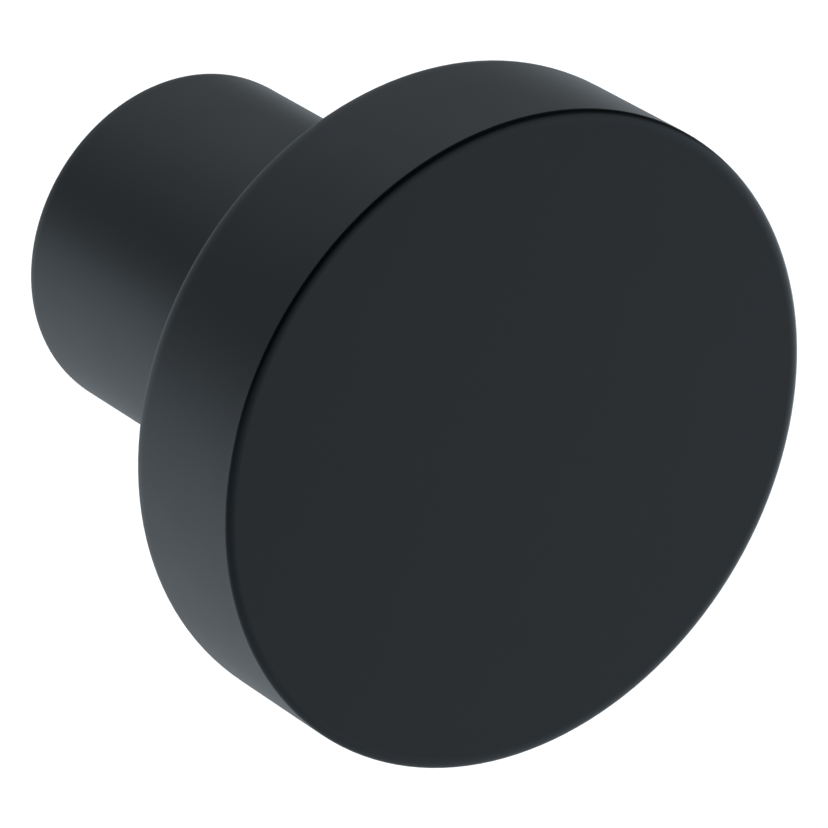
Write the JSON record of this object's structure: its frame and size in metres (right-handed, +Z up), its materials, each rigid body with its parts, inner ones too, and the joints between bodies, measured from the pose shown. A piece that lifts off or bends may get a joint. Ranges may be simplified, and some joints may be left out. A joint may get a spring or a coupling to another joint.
{
  "type": "cabinet knob",
  "caption": "Round cabinet or drawer knob: a flat disc head on a straight round neck, matte black, with a blind tapped hole in its flat mounting face.",
  "frame": {"origin": "centre of the mounting face, on the knob's axis", "axes": "+Z up; +Y along the knob's axis, out of the mounting face and into the door; the flat front of the head faces -Y"},
  "size_m": [0.03, 0.0266, 0.03],
  "materials": {
    "black_coating": "fine matte powder coat over die-cast zinc alloy; the tapped hole is bare metal"
  },
  "bodies": {
    "root": {"knob": "black_coating"}
  },
  "joints": []
}
